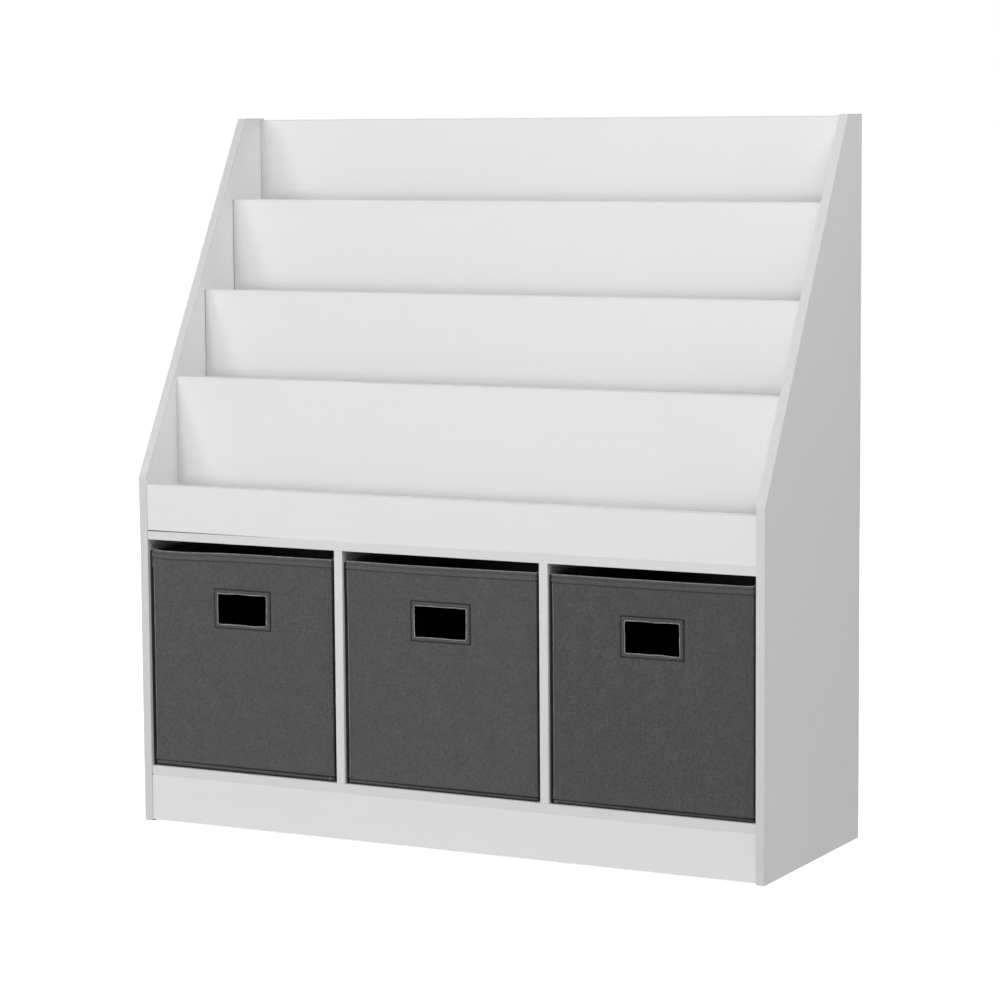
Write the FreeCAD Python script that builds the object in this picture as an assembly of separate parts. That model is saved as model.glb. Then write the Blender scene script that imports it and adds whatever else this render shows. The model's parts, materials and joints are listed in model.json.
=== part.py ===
import FreeCAD, Part
import os
from FreeCAD import Vector

# Toy storage rack: four stepped book tiers above three bays, each with a fabric-covered storage box.
# Millimetres, +Z up, +Y to the back, origin on the floor below the middle of the rack.

# Carcass
WIDTH = 900.0
DEPTH = 310.0
HEIGHT = 934.0
BOARD = 12.0
BAND = 1.0
FRONT_SETBACK = 1.0
PLINTH_CLEARANCE = 2.5
PLINTH_HEIGHT = 61.0
BAY_HEIGHT = 304.5
DIVIDER_SHIFT = 1.75
REAR_PANEL = 3.0

# Side panels: upright front edge to the knee, then a straight slope to the top edge
KNEE_RISE = 9.5
TOP_DEPTH = 48.0

# Book tiers
LIP_HEIGHT = 62.0
TIER_DROPS = (8.0, 30.0, 45.0)
POCKET_HEIGHT = 85.0
BACK_BOARD = 9.0
BACK_DROP = 2.0

# Cam fittings: a bolt in the side panel is gripped by a disc let into the board
CAM_RADIUS = 5.0
CAM_DEPTH = 9.0
CAM_INSET = 24.0
CAM_SLOT_WIDTH = 1.4
CAM_SLOT_DEPTH = 1.8
BOLT_RADIUS = 2.5
BOLT_NECK_RADIUS = 1.6
BOLT_HEAD_RADIUS = 2.3
BOLT_HEAD_LENGTH = 3.0
BLIND_DEPTH = 9.0
BORE_CLEARANCE = 0.1
HOLE_END_CLEARANCE = 0.3

# Dowels, screws and nails
DOWEL_RADIUS = 3.0
BACK_DOWEL_RADIUS = 2.5
DOWEL_IN_BOARD = 16.0
FASTENER_INSET = 30.0
DOWEL_SPACING = 18.0
DOWEL_ROW_COUNT = 4
SCREW_RADIUS = 2.5
SCREW_HEAD_RADIUS = 3.5
SCREW_HEAD_LENGTH = 3.0
SCREW_IN_DIVIDER = 30.0
SCREW_INSET = 55.0
BACK_SCREW_RADIUS = 1.75
BACK_SCREW_HEAD_RADIUS = 3.5
BACK_SCREW_IN_SHELF = 20.0
BACK_SCREW_COUNT = 5
NAIL_RADIUS = 0.8
NAIL_HEAD_RADIUS = 2.0
NAIL_HEAD_LENGTH = 0.8
NAIL_IN_BOARD = 15.0
NAIL_ROW_COUNT = 9
NAIL_COLUMN_COUNT = 3

# Fabric boxes: two fabric layers with stiff boards between them, bound along the rim and the handle slot
BOX_SIDE_GAPS = 9.0
BOX_TOP_GAP = 12.2
BOX_REAR_GAP = 16.0
BOX_RECESS = 6.0
BOX_SHIFT = -1.5
BOX_SEAT = 0.3
FABRIC = 1.2
CARD = 2.5
LINING = 0.8
RIM_BINDING = 0.6
RIM_BINDING_HEIGHT = 10.0
HANDLE_WIDTH = 75.0
HANDLE_HEIGHT = 41.0
HANDLE_DROP = 73.5
HANDLE_BINDING = 0.8
HANDLE_BORDER = 4.9
INSERT_THICKNESS = 4.0
INSERT_CLEARANCE = 1.5

BAY_COUNT = 3
TIER_COUNT = len(TIER_DROPS)
TIER_NAMES = ("lower", "middle", "upper")

X = Vector(1, 0, 0)
Y = Vector(0, 1, 0)
Z = Vector(0, 0, 1)

# Levels and planes worked out from the driving dimensions
FRONT = -DEPTH / 2
REAR = DEPTH / 2
INNER_X = WIDTH / 2 - BOARD
BOARD_FRONT = FRONT + FRONT_SETBACK
CARCASS_REAR = REAR - REAR_PANEL
BACK_FRONT = REAR - BACK_BOARD
PLINTH_TOP = PLINTH_CLEARANCE + PLINTH_HEIGHT
BAY_FLOOR = PLINTH_TOP + BOARD
BAY_CEILING = BAY_FLOOR + BAY_HEIGHT
CABINET_TOP = BAY_CEILING + BOARD
LIP_TOP = CABINET_TOP + LIP_HEIGHT
KNEE = LIP_TOP + KNEE_RISE
SLOPE_TOP_Y = REAR - TOP_DEPTH
BACK_TOP = HEIGHT - BACK_DROP
POCKET = (BACK_FRONT - BOARD_FRONT - (TIER_COUNT + 1) * BOARD) / (TIER_COUNT + 1)
BAY_WIDTH = (2 * INNER_X - (BAY_COUNT - 1) * BOARD) / BAY_COUNT
BOX_WIDTH = BAY_WIDTH - BOX_SIDE_GAPS
BOX_DEPTH = CARCASS_REAR - BOX_REAR_GAP - FRONT - BOX_RECESS
BOX_HEIGHT = BAY_HEIGHT - BOX_TOP_GAP - BOX_SEAT
TIER_FRONTS = [BOARD_FRONT + (i + 1) * (BOARD + POCKET) for i in range(TIER_COUNT)]
DIVIDER_LEFTS = [
    -INNER_X + (i + 1) * BAY_WIDTH + i * BOARD + DIVIDER_SHIFT for i in range(BAY_COUNT - 1)
]


def slope_height(y):
    """Height of the side panels' sloping edge at a depth."""
    return KNEE + (y - FRONT) * (HEIGHT - KNEE) / (SLOPE_TOP_Y - FRONT)


TIER_TOPS = [slope_height(y) - drop for y, drop in zip(TIER_FRONTS, TIER_DROPS)]
SHELF_TOPS = [top - POCKET_HEIGHT for top in TIER_TOPS]
TIER_FEET = [CABINET_TOP] + SHELF_TOPS[:-1]

solids = {}
cuts = {}


def add(node, *shapes):
    """Adds solids to a node."""
    solids.setdefault(node, []).extend(shapes)


def cut(node, *shapes):
    """Remembers holes to be cut out of a node."""
    cuts.setdefault(node, []).extend(shapes)


def box(x0, x1, y0, y1, z0, z1):
    """Upright block between two corners."""
    return Part.makeBox(x1 - x0, y1 - y0, z1 - z0, Vector(x0, y0, z0))


def rod(radius, start, direction, length):
    """Round rod from a point along a direction."""
    return Part.makeCylinder(radius, length, start, direction)


def flipped(shape):
    """The same shape on the other side of the rack."""
    return shape.mirror(Vector(0, 0, 0), X)


def spread(low, high, count):
    """Evenly spaced places, each in the middle of its share of a length."""
    step = (high - low) / count
    return [low + (i + 0.5) * step for i in range(count)]


# Side panels and their edge bands
def side_profile(inset):
    """Corners of a side panel, drawn in behind the banded front, slope and top edges."""
    run = SLOPE_TOP_Y - FRONT
    rise = HEIGHT - KNEE
    slant = (run * run + rise * rise) ** 0.5
    knee_shift = inset * (slant - rise) / run
    top_shift = inset * (slant - run) / rise
    return [
        (FRONT + inset, 0.0),
        (FRONT + inset, KNEE - knee_shift),
        (SLOPE_TOP_Y + top_shift, HEIGHT - inset),
        (REAR, HEIGHT - inset),
        (REAR, 0.0),
    ]


def side_blank(inset):
    """Right side panel as an extruded profile."""
    corners = [Vector(INNER_X, y, z) for y, z in side_profile(inset)]
    outline = Part.makePolygon(corners + corners[:1])
    return Part.Face(outline).extrude(X * BOARD)


def make_side_panels():
    panel = side_blank(BAND)
    band = side_blank(0.0).cut(panel)
    add("side_panel_right", panel)
    add("side_panel_left", flipped(panel))
    add("side_band_right", *band.Solids)
    add("side_band_left", *flipped(band).Solids)


# Boards between the side panels, each with its band where an edge shows
def flat_board(node, y0, y1, z0, band_node=None):
    """Horizontal board across the rack."""
    if band_node:
        add(band_node, box(-INNER_X, INNER_X, y0, y0 + BAND, z0, z0 + BOARD))
        y0 = y0 + BAND
    add(node, box(-INNER_X, INNER_X, y0, y1, z0, z0 + BOARD))


def upright_board(node, y0, thickness, z0, z1, band_node=None):
    """Vertical board across the rack."""
    if band_node:
        add(band_node, box(-INNER_X, INNER_X, y0, y0 + thickness, z1 - BAND, z1))
        z1 = z1 - BAND
    add(node, box(-INNER_X, INNER_X, y0, y0 + thickness, z0, z1))


def make_carcass():
    flat_board("cabinet_bottom", BOARD_FRONT, CARCASS_REAR, PLINTH_TOP, "cabinet_bands")
    flat_board("cabinet_top", BOARD_FRONT, CARCASS_REAR, BAY_CEILING, "cabinet_bands")
    upright_board("plinth_board", BOARD_FRONT, BOARD, PLINTH_CLEARANCE, PLINTH_TOP)
    for left, name in zip(DIVIDER_LEFTS, ("divider_left", "divider_right")):
        right = left + BOARD
        add("cabinet_bands", box(left, right, BOARD_FRONT, BOARD_FRONT + BAND, BAY_FLOOR, BAY_CEILING))
        add(name, box(left, right, BOARD_FRONT + BAND, CARCASS_REAR, BAY_FLOOR, BAY_CEILING))
    add("rear_panel", box(-INNER_X, INNER_X, CARCASS_REAR, REAR, PLINTH_TOP, CABINET_TOP))


def make_tiers():
    upright_board("front_lip", BOARD_FRONT, BOARD, CABINET_TOP, LIP_TOP, "tier_bands")
    upright_board("back_board", BACK_FRONT, BACK_BOARD, CABINET_TOP, BACK_TOP, "tier_bands")
    for name, front, foot, top in zip(TIER_NAMES, TIER_FRONTS, TIER_FEET, TIER_TOPS):
        upright_board("tier_board_" + name, front, BOARD, foot, top, "tier_bands")
    shelf_rears = [front + BOARD for front in TIER_FRONTS[1:]] + [BACK_FRONT]
    for name, front, rear, top in zip(TIER_NAMES, TIER_FRONTS, shelf_rears, SHELF_TOPS):
        flat_board("tier_shelf_" + name, front + BOARD, rear, top - BOARD)


# Fittings between the boards and the side panels
def cam_joint(board, place, face_normal):
    """Cam bolts and cam discs at both ends of a board, with the disc let in from one face."""
    seat = Vector(INNER_X, place.y, place.z)
    centre = seat - X * CAM_INSET
    face = centre + face_normal * (BOARD / 2)
    bolt = rod(BOLT_RADIUS, seat, X, BLIND_DEPTH)
    bolt = bolt.fuse(rod(BOLT_NECK_RADIUS, centre, X, CAM_INSET))
    bolt = bolt.fuse(rod(BOLT_HEAD_RADIUS, centre - X * (BOLT_HEAD_LENGTH / 2), X, BOLT_HEAD_LENGTH))
    disc = rod(CAM_RADIUS, face, -face_normal, CAM_DEPTH)
    grip = rod(BOLT_HEAD_RADIUS + BORE_CLEARANCE, centre - X * BOLT_HEAD_LENGTH, X, CAM_INSET)
    across = face_normal.cross(X)
    for direction, side in ((X, across), (across, X)):
        slot_corner = face - direction * (CAM_RADIUS / 2) - side * (CAM_SLOT_WIDTH / 2)
        slot = Part.Face(Part.makePolygon([
            slot_corner,
            slot_corner + direction * CAM_RADIUS,
            slot_corner + direction * CAM_RADIUS + side * CAM_SLOT_WIDTH,
            slot_corner + side * CAM_SLOT_WIDTH,
            slot_corner,
        ]))
        disc = disc.cut(slot.extrude(face_normal * -CAM_SLOT_DEPTH))
    disc = disc.cut(grip)
    pocket = rod(CAM_RADIUS + BORE_CLEARANCE, face, -face_normal, CAM_DEPTH + HOLE_END_CLEARANCE)
    bore = rod(BOLT_RADIUS, centre, X, CAM_INSET)
    socket = rod(BOLT_RADIUS + BORE_CLEARANCE, seat, X, BLIND_DEPTH + HOLE_END_CLEARANCE)
    add("cam_bolts", bolt, flipped(bolt))
    add("cam_discs", disc, flipped(disc))
    cut(board, pocket, bore, flipped(pocket), flipped(bore))
    cut("side_panel_right", socket)
    cut("side_panel_left", flipped(socket))


def end_dowel(board, place, radius):
    """Dowels from both ends of a board into the side panels."""
    seat = Vector(INNER_X, place.y, place.z)
    dowel = rod(radius, seat - X * DOWEL_IN_BOARD, X, DOWEL_IN_BOARD + BLIND_DEPTH)
    hole_length = DOWEL_IN_BOARD + BLIND_DEPTH + 2 * HOLE_END_CLEARANCE
    hole = rod(radius + BORE_CLEARANCE, seat - X * (DOWEL_IN_BOARD + HOLE_END_CLEARANCE), X, hole_length)
    add("end_dowels", dowel, flipped(dowel))
    cut(board, hole, flipped(hole))
    cut("side_panel_right", hole)
    cut("side_panel_left", flipped(hole))


def face_dowels(thin_board, butting_board, place, direction):
    """A row of dowels across the rack, from a board's face into the edge that butts against it."""
    for x in spread(-INNER_X, INNER_X, DOWEL_ROW_COUNT):
        seat = Vector(x, place.y, place.z)
        start = seat - direction * BLIND_DEPTH
        length = BLIND_DEPTH + DOWEL_IN_BOARD
        dowel = rod(DOWEL_RADIUS, start, direction, length)
        hole_start = start - direction * HOLE_END_CLEARANCE
        hole = rod(DOWEL_RADIUS + BORE_CLEARANCE, hole_start, direction, length + 2 * HOLE_END_CLEARANCE)
        add("tier_dowels", dowel)
        cut(thin_board, hole)
        cut(butting_board, hole)


def join_flat(board, y0, y1, z0):
    """Cams near the front and rear of a horizontal board, with dowels beside them."""
    middle = z0 + BOARD / 2
    for y, inward in ((y0 + FASTENER_INSET, 1), (y1 - FASTENER_INSET, -1)):
        cam_joint(board, Vector(0, y, middle), -Z)
        end_dowel(board, Vector(0, y + inward * DOWEL_SPACING, middle), DOWEL_RADIUS)


def join_upright(board, y0, z0, z1):
    """Cams near the foot and top of a vertical board, with dowels beside them."""
    middle = y0 + BOARD / 2
    for z, inward in ((z0 + FASTENER_INSET, 1), (z1 - FASTENER_INSET, -1)):
        cam_joint(board, Vector(0, middle, z), Y)
        end_dowel(board, Vector(0, middle, z + inward * DOWEL_SPACING), DOWEL_RADIUS)


def join_strip(board, centre, along, face_normal):
    """One cam in the middle of a narrow board's end, with a dowel on each side."""
    cam_joint(board, centre, face_normal)
    for side in (-1, 1):
        end_dowel(board, centre + along * (side * DOWEL_SPACING), DOWEL_RADIUS)


def join_boards():
    half = BOARD / 2
    join_flat("cabinet_bottom", BOARD_FRONT, CARCASS_REAR, PLINTH_TOP)
    join_flat("cabinet_top", BOARD_FRONT, CARCASS_REAR, BAY_CEILING)
    front_middle = BOARD_FRONT + half
    plinth_middle = PLINTH_CLEARANCE + PLINTH_HEIGHT / 2
    lip_middle = CABINET_TOP + LIP_HEIGHT / 2
    join_strip("plinth_board", Vector(0, front_middle, plinth_middle), Z, Y)
    join_strip("front_lip", Vector(0, front_middle, lip_middle), Z, Y)
    face_dowels("cabinet_bottom", "plinth_board", Vector(0, front_middle, PLINTH_TOP), -Z)
    face_dowels("cabinet_top", "front_lip", Vector(0, front_middle, CABINET_TOP), Z)
    thin_boards = ["cabinet_top"] + ["tier_shelf_" + name for name in TIER_NAMES[:-1]]
    for thin, name, front, foot, top in zip(thin_boards, TIER_NAMES, TIER_FRONTS, TIER_FEET, TIER_TOPS):
        board = "tier_board_" + name
        join_upright(board, front, foot, top)
        face_dowels(thin, board, Vector(0, front + half, foot), Z)
    for name, front, top in zip(TIER_NAMES, TIER_FRONTS, SHELF_TOPS):
        shelf = "tier_shelf_" + name
        shelf_front = front + BOARD
        join_strip(shelf, Vector(0, shelf_front + POCKET / 2, top - half), Y, -Z)
        face_dowels("tier_board_" + name, shelf, Vector(0, shelf_front, top - half), Y)
    for z in spread(CABINET_TOP, BACK_TOP, DOWEL_ROW_COUNT):
        end_dowel("back_board", Vector(0, BACK_FRONT + BACK_BOARD / 2, z), BACK_DOWEL_RADIUS)


# Screws and nails
def screw(node, start, direction, through, radius, head_radius, head_length, grip, boards):
    """Flush-headed fastener through one board and into the next, with its holes."""
    shank = rod(radius, start, direction, through + grip)
    head = rod(head_radius, start, direction, head_length)
    add(node, head.fuse(shank))
    clear_shank = rod(radius + BORE_CLEARANCE, start, direction, through + grip + HOLE_END_CLEARANCE)
    clear_head = rod(head_radius + BORE_CLEARANCE, start, direction, head_length)
    for board in boards:
        cut(board, clear_shank, clear_head)


def make_screws():
    for left, name in zip(DIVIDER_LEFTS, ("divider_left", "divider_right")):
        x = left + BOARD / 2
        for y in (BOARD_FRONT + SCREW_INSET, CARCASS_REAR - SCREW_INSET):
            for z, direction, board in ((CABINET_TOP, -Z, "cabinet_top"), (PLINTH_TOP, Z, "cabinet_bottom")):
                screw("divider_screws", Vector(x, y, z), direction, BOARD, SCREW_RADIUS,
                      SCREW_HEAD_RADIUS, SCREW_HEAD_LENGTH, SCREW_IN_DIVIDER, (board, name))
    shelf_middle = SHELF_TOPS[-1] - BOARD / 2
    for x in spread(-INNER_X, INNER_X, BACK_SCREW_COUNT):
        screw("back_screws", Vector(x, REAR, shelf_middle), -Y, BACK_BOARD, BACK_SCREW_RADIUS,
              BACK_SCREW_HEAD_RADIUS, SCREW_HEAD_LENGTH, BACK_SCREW_IN_SHELF,
              ("back_board", "tier_shelf_" + TIER_NAMES[-1]))


def make_nails():
    places = []
    for x in spread(-INNER_X, INNER_X, NAIL_ROW_COUNT):
        places.append((x, PLINTH_TOP + BOARD / 2, "cabinet_bottom"))
        places.append((x, BAY_CEILING + BOARD / 2, "cabinet_top"))
    for left, name in zip(DIVIDER_LEFTS, ("divider_left", "divider_right")):
        for z in spread(BAY_FLOOR, BAY_CEILING, NAIL_COLUMN_COUNT):
            places.append((left + BOARD / 2, z, name))
    for x, z, board in places:
        screw("rear_panel_nails", Vector(x, REAR, z), -Y, REAR_PANEL, NAIL_RADIUS,
              NAIL_HEAD_RADIUS, NAIL_HEAD_LENGTH, NAIL_IN_BOARD, ("rear_panel", board))


# Fabric boxes
def five_panels(x_half, y0, y1, z0, z1, thickness):
    """Front, rear, two side panels and a base, as separate sheets that meet at the seams."""
    inner = x_half - thickness
    front = box(-x_half, x_half, y0, y0 + thickness, z0, z1)
    rear = box(-x_half, x_half, y1 - thickness, y1, z0, z1)
    right = box(inner, x_half, y0 + thickness, y1 - thickness, z0, z1)
    left = box(-x_half, -inner, y0 + thickness, y1 - thickness, z0, z1)
    base = box(-inner, inner, y0 + thickness, y1 - thickness, z0, z0 + thickness)
    return front, rear, left, right, base


def handle_block(grow, y0, y1, slot_middle):
    """Block through the handle slot, grown past the slot's clear size."""
    half_width = HANDLE_WIDTH / 2 + grow
    half_height = HANDLE_HEIGHT / 2 + grow
    return box(-half_width, half_width, y0, y1, slot_middle - half_height, slot_middle + half_height)


def make_fabric_box(number, centre_x):
    name = "box_%d_" % number
    x_half = BOX_WIDTH / 2
    y0 = FRONT + BOX_RECESS
    y1 = y0 + BOX_DEPTH
    z0 = BAY_FLOOR + BOX_SEAT
    z1 = z0 + BOX_HEIGHT
    wall_top = z1 - RIM_BINDING
    slot_middle = z1 - HANDLE_DROP
    card_inset = FABRIC
    lining_inset = FABRIC + CARD
    wall = FABRIC + CARD + LINING
    floor_top = z0 + FABRIC
    slot = handle_block(HANDLE_BINDING, y0, y0 + wall, slot_middle)
    pieces = {}

    front, rear, left, right, base = five_panels(x_half, y0, y1, z0, wall_top, FABRIC)
    pieces["cover"] = [front.cut(slot), rear, left, right, base]

    card_half = x_half - card_inset
    card_y0 = y0 + card_inset
    card_y1 = y1 - card_inset
    front_card = box(-card_half, card_half, card_y0, card_y0 + CARD, floor_top, wall_top)
    pieces["front_stiffener"] = [front_card.cut(slot)]
    pieces["rear_stiffener"] = [box(-card_half, card_half, card_y1 - CARD, card_y1, floor_top, wall_top)]
    pieces["side_stiffeners"] = [
        box(low, low + CARD, card_y0 + CARD, card_y1 - CARD, floor_top, wall_top)
        for low in (-card_half, card_half - CARD)
    ]

    lining_half = x_half - lining_inset
    lining_y0 = y0 + lining_inset
    lining_y1 = y1 - lining_inset
    lining = five_panels(lining_half, lining_y0, lining_y1, floor_top, wall_top, LINING)
    pieces["lining"] = [lining[0].cut(slot)] + list(lining[1:])

    walls = box(-x_half, x_half, y0, y1, z0, wall_top)
    room = box(-x_half + wall, x_half - wall, y0 + wall, y1 - wall, z0, z1)
    rim_low = wall_top - RIM_BINDING_HEIGHT
    rim = box(-x_half - RIM_BINDING, x_half + RIM_BINDING, y0 - RIM_BINDING, y1 + RIM_BINDING, rim_low, z1)
    inner = wall + RIM_BINDING
    rim = rim.cut(box(-x_half + inner, x_half - inner, y0 + inner, y1 - inner, rim_low, z1))
    pieces["rim_binding"] = [rim.cut(walls.cut(room))]

    front_flange = handle_block(HANDLE_BORDER, y0 - HANDLE_BINDING, y0, slot_middle)
    rear_flange = handle_block(HANDLE_BORDER, y0 + wall, y0 + wall + HANDLE_BINDING, slot_middle)
    handle = slot.fuse(front_flange).fuse(rear_flange)
    hole = handle_block(0.0, y0 - HANDLE_BINDING, y0 + wall + HANDLE_BINDING, slot_middle)
    pieces["handle_binding"] = [handle.cut(hole).removeSplitter()]

    insert_inset = wall + INSERT_CLEARANCE
    insert_floor = floor_top + LINING + BOX_SEAT
    pieces["base_insert"] = [box(
        -x_half + insert_inset, x_half - insert_inset, y0 + insert_inset, y1 - insert_inset,
        insert_floor, insert_floor + INSERT_THICKNESS,
    )]

    for piece, shapes in pieces.items():
        add(name + piece, *[shape.translated(X * centre_x) for shape in shapes])


def make_fabric_boxes():
    walls = [-INNER_X]
    for left in DIVIDER_LEFTS:
        walls.extend((left, left + BOARD))
    walls.append(INNER_X)
    for i in range(BAY_COUNT):
        make_fabric_box(i + 1, (walls[2 * i] + walls[2 * i + 1]) / 2 + BOX_SHIFT)


def finished(node):
    """A node's solids with its holes cut."""
    shapes = []
    for shape in solids[node]:
        if node in cuts:
            shape = shape.cut(cuts[node])
        shapes.extend(shape.Solids)
    return shapes


make_side_panels()
make_carcass()
make_tiers()
join_boards()
make_screws()
make_nails()
make_fabric_boxes()

os.makedirs("parts", exist_ok=True)
for node in solids:
    shapes = finished(node)
    shape = shapes[0] if len(shapes) == 1 else Part.makeCompound(shapes)
    shape.exportStep("parts/%s.step" % node)
    print(node, len(shapes), round(sum(s.Volume for s in shapes)), all(s.isValid() for s in shapes))
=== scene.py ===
import json
import math
import bpy
from mathutils import Matrix, Vector, noise


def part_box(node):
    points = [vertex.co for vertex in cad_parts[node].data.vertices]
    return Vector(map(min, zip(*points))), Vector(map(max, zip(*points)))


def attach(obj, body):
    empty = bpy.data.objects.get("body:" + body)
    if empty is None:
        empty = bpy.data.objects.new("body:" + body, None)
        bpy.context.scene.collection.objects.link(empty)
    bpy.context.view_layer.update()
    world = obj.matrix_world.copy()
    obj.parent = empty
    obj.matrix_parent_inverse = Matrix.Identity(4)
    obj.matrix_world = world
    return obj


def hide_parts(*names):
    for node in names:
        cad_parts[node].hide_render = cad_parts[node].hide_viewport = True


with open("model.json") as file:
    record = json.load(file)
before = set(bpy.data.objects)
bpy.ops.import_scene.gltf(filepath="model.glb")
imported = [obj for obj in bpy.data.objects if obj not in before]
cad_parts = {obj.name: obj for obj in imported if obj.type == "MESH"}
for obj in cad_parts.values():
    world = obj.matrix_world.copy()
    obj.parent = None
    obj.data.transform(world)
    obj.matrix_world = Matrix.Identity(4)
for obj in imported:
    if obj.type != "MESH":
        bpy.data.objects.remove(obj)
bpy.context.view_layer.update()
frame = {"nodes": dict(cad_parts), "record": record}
nodes = frame["nodes"]

MM = 0.001
UP = Vector((0, 0, 1))
FORWARD = Vector((0, -1, 0))
BACKWARD = Vector((0, 1, 0))

# Camera, fitted to the photograph's edges
CAMERA_PLACE = (2.0172, -3.8365, 0.9284)
CAMERA_YAW = math.radians(27.627)
CAMERA_PITCH = math.radians(-6.473)
CAMERA_ROLL = math.radians(-0.419)
CAMERA_LENS = 120.287
CAMERA_SENSOR = 36.0

# Lamps: place, width of the disc and power in watts
LAMPS = {
    "key": ((-2.4, -2.6, 2.2), 1.6, 37.9),
    "front": ((-0.9, -3.8, 0.7), 1.4, 51.0),
    "right": ((1.5, -1.6, 2.6), 1.2, 24.7),
    "top": ((1.9, -0.2, 2.8), 0.9, 26.5),
    "side": ((2.6, -0.45, 1.2), 1.2, 3.0),
    "rear": ((-1.6, 3.2, 1.3), 1.4, 50.0),
}
LAMP_AIM = Vector((0.0, 0.0, 0.5))
WORLD_LIGHT = 0.03
WHITE = (1.0, 1.0, 1.0, 1.0)

# Floor: near the rack it glows less, so that the shadow shows, and further away it is white
FLOOR_GLOW = 0.87
FLOOR_NEAR = 1.0
FLOOR_FAR = 3.0
FLOOR_SIZE = 30.0
FLOOR_LIT_GREY = 0.6
FLOOR_SHOWN_GREY = 0.9

# Stretch of the textures along the axes
EVEN = (1.0, 1.0, 1.0)
GRAIN_ALONG_X = (0.02, 1.0, 1.0)
GRAIN_ALONG_Z = (1.0, 1.0, 0.02)
BEECH_GRAIN = (0.1, 1.0, 1.0)
FIBRES_UPRIGHT = (1.0, 1.0, 0.2)
FIBRES_LEVEL = (0.2, 0.2, 1.0)

# White boards and bands: linear colour, roughness, pores per metre and grain
BOARDS = {
    "white_laminate": ((0.82, 0.82, 0.82), 0.42, 700.0, GRAIN_ALONG_X),
    "white_laminate_upright": ((0.82, 0.82, 0.82), 0.42, 700.0, GRAIN_ALONG_Z),
    "white_edge_band": ((0.73, 0.73, 0.73), 0.38, 1100.0, GRAIN_ALONG_X),
    # Painted shade: the side panels' bands are the same edge band made darker for how the light falls on
    # them
    "white_side_band": ((0.67, 0.67, 0.67), 0.38, 1100.0, GRAIN_ALONG_Z),
    "white_hardboard": ((0.76, 0.76, 0.755), 0.6, 500.0, EVEN),
}
# Bare wood, board and the painted shade of open joints: colour, grain and its cells per metre
GRAINED = {
    "beech": ((0.62, 0.44, 0.26), BEECH_GRAIN, 900.0),
    "greyboard": ((0.36, 0.33, 0.29), EVEN, 300.0),
    # Painted shade: dark cords that stand for the shadow in open joints
    "joint_dust": ((0.12, 0.12, 0.12), EVEN, 400.0),
}
# Plated metal: colour and roughness
METALS = {
    "zinc_steel": ((0.55, 0.55, 0.56), 0.35),
    "zinc_alloy": ((0.55, 0.55, 0.56), 0.5),
}
# Threads and pipings, and dark strips of painted shade: colour, and how uneven it is
THREADS = {
    # Painted highlight: the left seam's thread, lighter than the thread of the right seam
    "light_thread": ((0.22, 0.22, 0.222), 0.25),
    "dull_thread": ((0.115, 0.115, 0.116), 0.2),
    # Dark thread whose near-black colour also paints the shade in the sunk seams
    "dark_thread": ((0.022, 0.022, 0.0225), 0.2),
    # Painted shade: near-black strips that stand for the shadow in the gaps beside each box
    "dark_binding": ((0.012, 0.012, 0.0122), 0.2),
    # Painted highlight: light cord along the fold of the rim
    "rim_thread": ((0.26, 0.26, 0.261), 0.45),
    "light_piping": ((0.30, 0.30, 0.298), 0.6),
}
# Fabrics: colours, mottle, and how the felt thickens where its fibres clump
FABRIC = (0.0945, 0.0945, 0.0955)
TAPE_SHADE = 1.14
MOTTLE = 0.18
LINING_COLOUR = (0.07, 0.07, 0.071)
LINING_MOTTLE = 0.12
FIBRE_SCALE = 700.0
CLUMP_THRESHOLD = 0.3
CLUMP_GAIN = 4.0
CLUMP_LEAST = 0.3
NOISE_MIDDLE = 0.5
TONE_RANGE = (0.3, 0.7)
# Slots whose material has another name
SLOT_FABRICS = {"grey_fabric": "box_1_fabric", "insert_fabric": "lining_fabric"}

# Boards: those whose grain runs upright, the side panels' bands, darkened as painted shade, and the
# eased arrises
UPRIGHT_GRAIN = ("side_panel_left", "side_panel_right", "divider_left", "divider_right")
SIDE_BANDS = ("side_band_left", "side_band_right")
WELD_DISTANCE = 0.01 * MM
ARRIS = 0.35 * MM
ARRIS_STEPS = 2
ARRIS_ANGLE = math.radians(40)

# Fabric boxes: walls, corners and how finely they are meshed
WALL = 4.5 * MM
CORNER_RADII = (3.3 * MM, 1.8 * MM)
CORNER_STEPS = 6
WALL_STEP = 9.0 * MM
HEM_STEP = 3.0 * MM
MARK_GAP = 0.6 * MM
TOP_GAP = 4.0 * MM
FACING = 0.9
SEED_STEP = 17.0

# Grid lines beside the handle frame, the hem and the side seams, in mm
FRAME_MARKS = (-2.4, -1.4, -0.7, 0.0, 0.7, 1.4, 2.4)
HEM_MARKS = (-6.0, -3.5, -2.0, -1.2, -0.6, 0.0, 0.6, 1.2)
LEFT_MARKS = (0.0, 0.7, 1.4, 1.9, 2.4, 3.2)
RIGHT_MARKS = (-3.2, -2.4, -1.9, -1.4, -0.7, 0.0, 0.7, 1.4)

# Cloth: waves, side seams, foot seam and the lean of the left front corner
PULL_TIGHT = 0.4 * MM
WAVE_HEIGHT = 0.55 * MM
WAVES_ROUND = 9.0
WAVES_UP = 7.0
RIPPLE_HEIGHT = 0.2 * MM
RIPPLES = 28.0
HEM_FADE = (-2.0 * MM, 20.0 * MM)
FRAME_FADE = 14.0 * MM
LEFT_SEAM = 3.7 * MM
RIGHT_SEAM = 5.4 * MM
SIDE_RIDGE = 0.45 * MM
RIDGE_WIDTH = 1.2 * MM
SIDE_GROOVE = 0.4 * MM
GROOVE_INSET = 1.9 * MM
GROOVE_WIDTH = 0.8 * MM
FOOT_GROOVE = 2.4 * MM
FOOT_GROOVE_WIDTH = 0.85 * MM
FOOT_GRIP = 0.8
FRONT_GRIP = 0.3
FRONT_GRIP_SPAN = (0.1, 0.45)
FOOT_TILT = 0.8 * MM
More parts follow.
